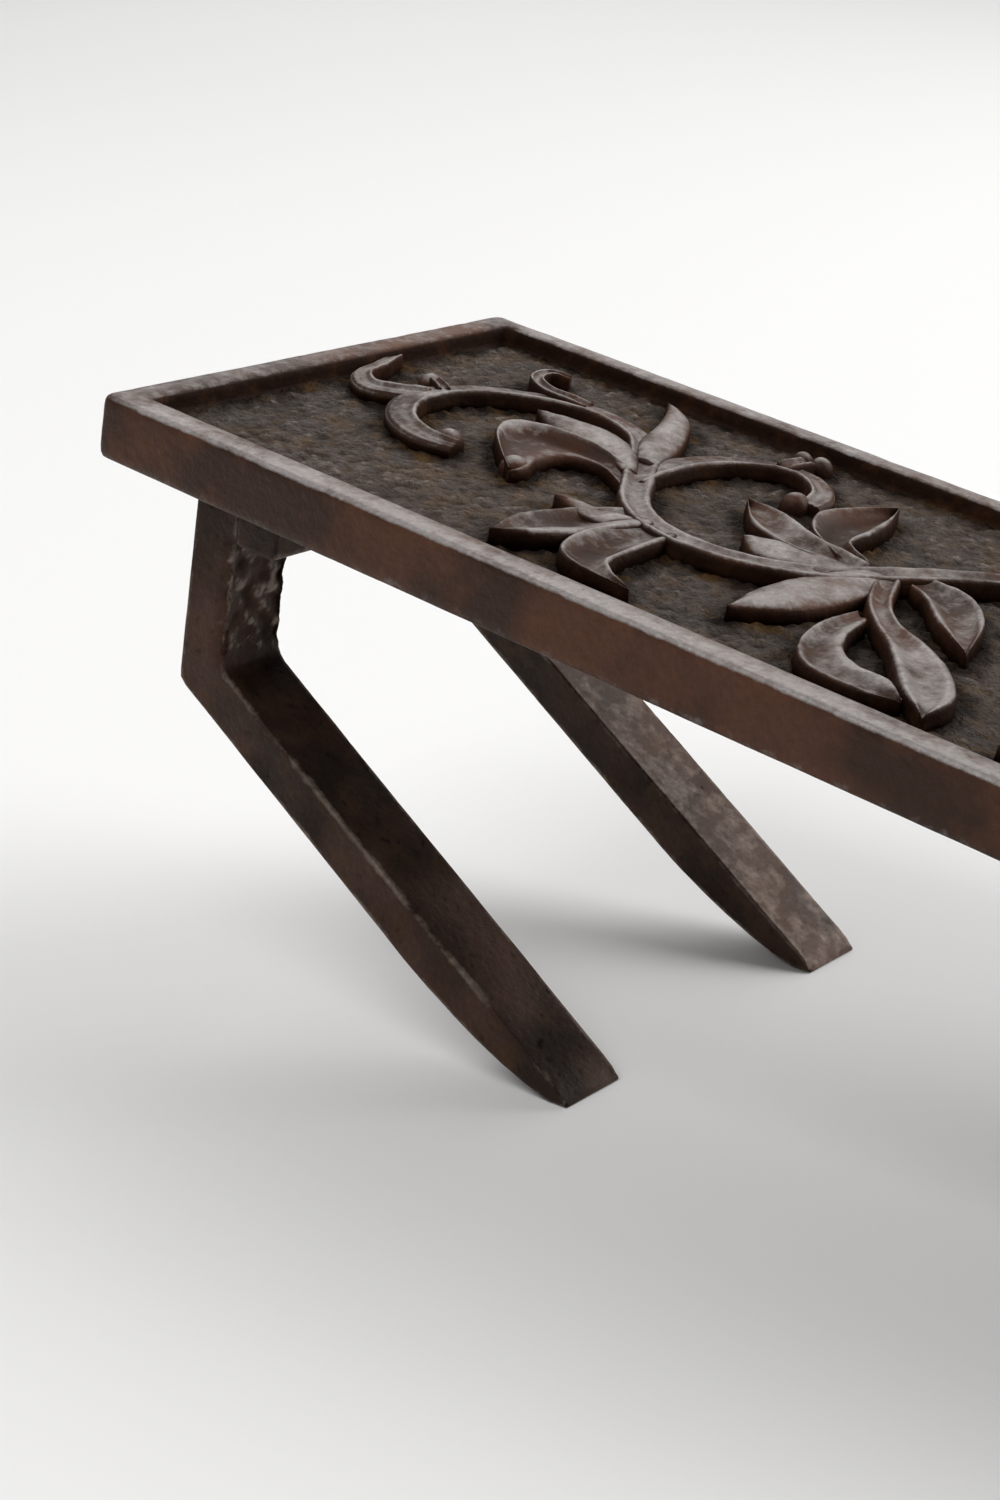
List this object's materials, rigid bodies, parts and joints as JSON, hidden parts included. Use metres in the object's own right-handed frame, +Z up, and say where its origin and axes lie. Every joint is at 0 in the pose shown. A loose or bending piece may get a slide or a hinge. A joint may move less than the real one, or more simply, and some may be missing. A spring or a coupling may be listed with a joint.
{
  "type": "hook-on hearth trivet",
  "caption": "Cast-iron hearth trivet: a long rimmed plate with scroll relief on two bent chisel-tipped prongs and a low strap foot.",
  "frame": {"origin": "on the floor, under the middle of the object's bounding box", "axes": "+Z up, X along the plate with its high pronged end at -X, Y across the plate"},
  "size_m": [0.2472, 0.075, 0.0766],
  "materials": {
    "cast_plate": "dark worn casting, brown on the sides",
    "forged_bar": "dark hammered wrought iron with rust-brown patches",
    "rivet_iron": "dark peened iron"
  },
  "bodies": {
    "root": {"top_plate": "cast_plate", "cross_bar": "forged_bar", "prong_near": "forged_bar", "prong_far": "forged_bar", "foot_strap": "forged_bar", "rivets": "rivet_iron"}
  },
  "joints": []
}
